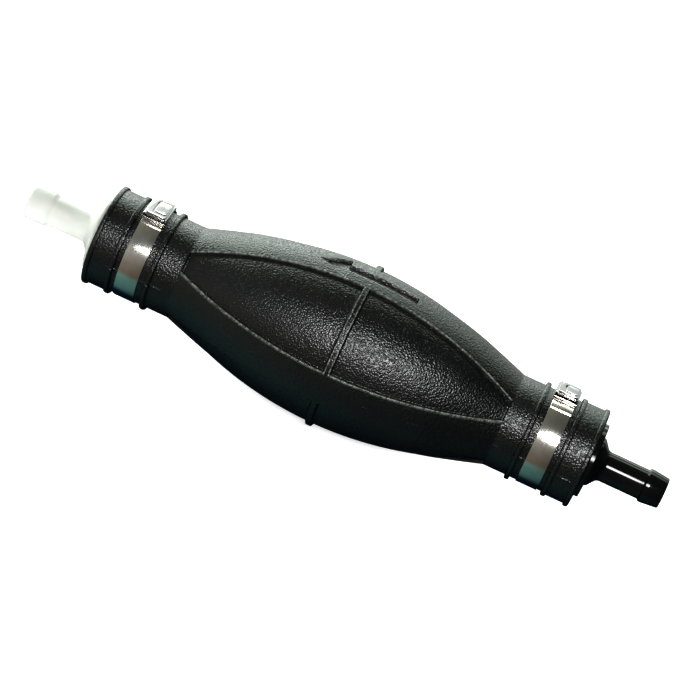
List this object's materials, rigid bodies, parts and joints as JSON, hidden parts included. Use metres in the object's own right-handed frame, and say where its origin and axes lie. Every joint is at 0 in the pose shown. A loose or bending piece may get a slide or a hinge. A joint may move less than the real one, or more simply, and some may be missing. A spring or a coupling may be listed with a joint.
{
  "type": "hand squeeze pump",
  "caption": "In-line hand squeeze pump: a grained rubber bulb with moulded grip panels and flow arrow, a check valve and hose barb at each end, and a steel band clamp on each cuff.",
  "frame": {"origin": "centre of the bulb at its girth, on the pump's axis", "axes": "+X along the pump's axis to the inlet barb, so that the flow runs towards -X; +Z through the land that carries the flow arrow; +Y completes the right-handed frame"},
  "size_m": [0.175, 0.044, 0.0439],
  "materials": {
    "bulb_rubber": "grained, satin black",
    "white_nylon": "natural white, smooth",
    "black_nylon": "glossy black",
    "clamp_steel": "bright rolled stainless",
    "valve_plastic": "smooth",
    "seal_rubber": "smooth",
    "spring_wire": "drawn stainless wire"
  },
  "bodies": {
    "pump_body": {"bulb_shell": "bulb_rubber", "outlet_fitting": "white_nylon", "outlet_seat_ring": "valve_plastic", "outlet_seat_oring": "seal_rubber", "outlet_guide": "valve_plastic", "outlet_spring": "spring_wire", "outlet_clamp_band": "clamp_steel", "outlet_clamp_buckle": "clamp_steel", "inlet_fitting": "black_nylon", "inlet_seat_ring": "valve_plastic", "inlet_seat_oring": "seal_rubber", "inlet_guide": "valve_plastic", "inlet_spring": "spring_wire", "inlet_clamp_band": "clamp_steel", "inlet_clamp_buckle": "clamp_steel"},
    "thumb_side": {"thumb_wall": "bulb_rubber"},
    "finger_side": {"finger_wall": "bulb_rubber"},
    "outlet_valve": {"outlet_poppet": "valve_plastic", "outlet_poppet_washer": "seal_rubber"},
    "inlet_valve": {"inlet_poppet": "valve_plastic", "inlet_poppet_washer": "seal_rubber"}
  },
  "joints": [
    {"name": "thumb_squeeze", "type": "slide", "parent": "pump_body", "child": "thumb_side", "axis": [0, 0, -1], "range_m": [0, 0.008], "stiffness_N_per_m": 1500},
    {"name": "finger_squeeze", "type": "slide", "parent": "pump_body", "child": "finger_side", "axis": [0, 0, 1], "range_m": [0, 0.008], "stiffness_N_per_m": 1500},
    {"name": "outlet_valve_lift", "type": "slide", "parent": "pump_body", "child": "outlet_valve", "axis": [-1, 0, 0], "range_m": [0, 0.0022], "stiffness_N_per_m": 60, "springref_m": -0.002, "deforming": ["outlet_spring"]},
    {"name": "inlet_valve_lift", "type": "slide", "parent": "pump_body", "child": "inlet_valve", "axis": [-1, 0, 0], "range_m": [0, 0.0022], "stiffness_N_per_m": 60, "springref_m": -0.002, "deforming": ["inlet_spring"]}
  ],
  "couplings": [
    {"joint": "finger_squeeze", "follows": "thumb_squeeze", "ratio": 1}
  ]
}
